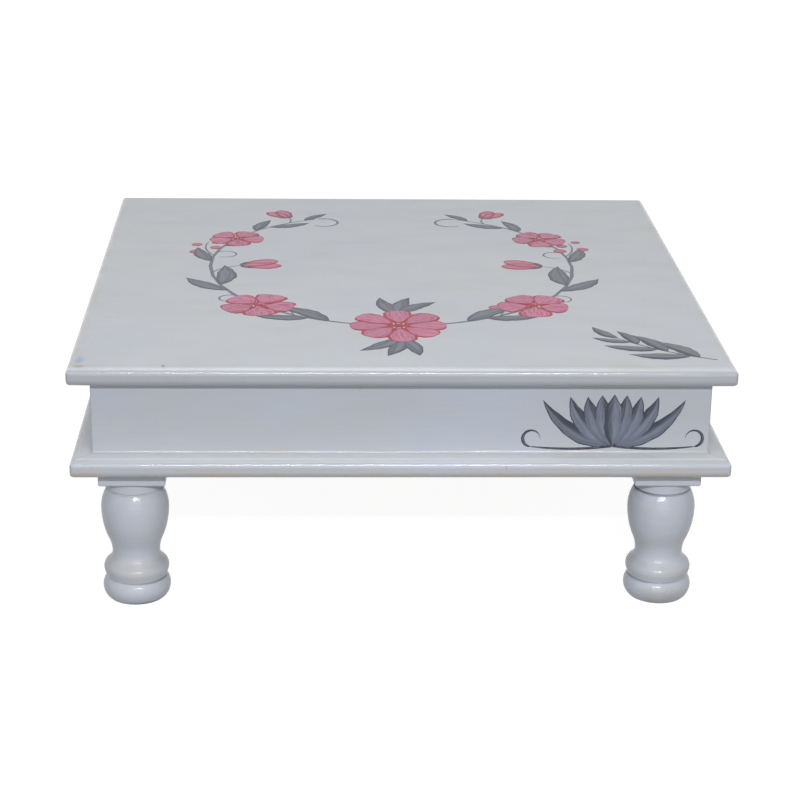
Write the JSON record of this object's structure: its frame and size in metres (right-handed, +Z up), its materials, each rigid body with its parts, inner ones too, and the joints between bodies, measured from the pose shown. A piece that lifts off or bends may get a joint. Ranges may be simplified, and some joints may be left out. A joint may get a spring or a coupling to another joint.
{
  "type": "bajot low table",
  "caption": "Low square painted table: rounded top board, set-back box of apron boards, mitred lower frame and short turned legs with ball feet.",
  "frame": {"origin": "on the floor under the middle of the top", "axes": "+Z up, +X to the right seen from the front, front at -Y"},
  "size_m": [0.381, 0.381, 0.1545],
  "materials": {
    "enamel": "pale blue-grey gloss enamel",
    "bare_wood": "bare sawn wood",
    "screw_steel": "zinc-plated steel"
  },
  "bodies": {
    "root": {"top_board": "enamel", "apron_front": "enamel", "apron_back": "enamel", "apron_left": "enamel", "apron_right": "enamel", "base_rail_front": "enamel", "base_rail_back": "enamel", "base_rail_left": "enamel", "base_rail_right": "enamel", "leg_front_left": "enamel", "leg_front_right": "enamel", "leg_back_left": "enamel", "leg_back_right": "enamel", "corner_block_front_left": "bare_wood", "corner_block_front_right": "bare_wood", "corner_block_back_left": "bare_wood", "corner_block_back_right": "bare_wood", "top_batten_left": "bare_wood", "top_batten_right": "bare_wood", "base_screws": "screw_steel", "top_screws": "screw_steel"}
  },
  "joints": []
}
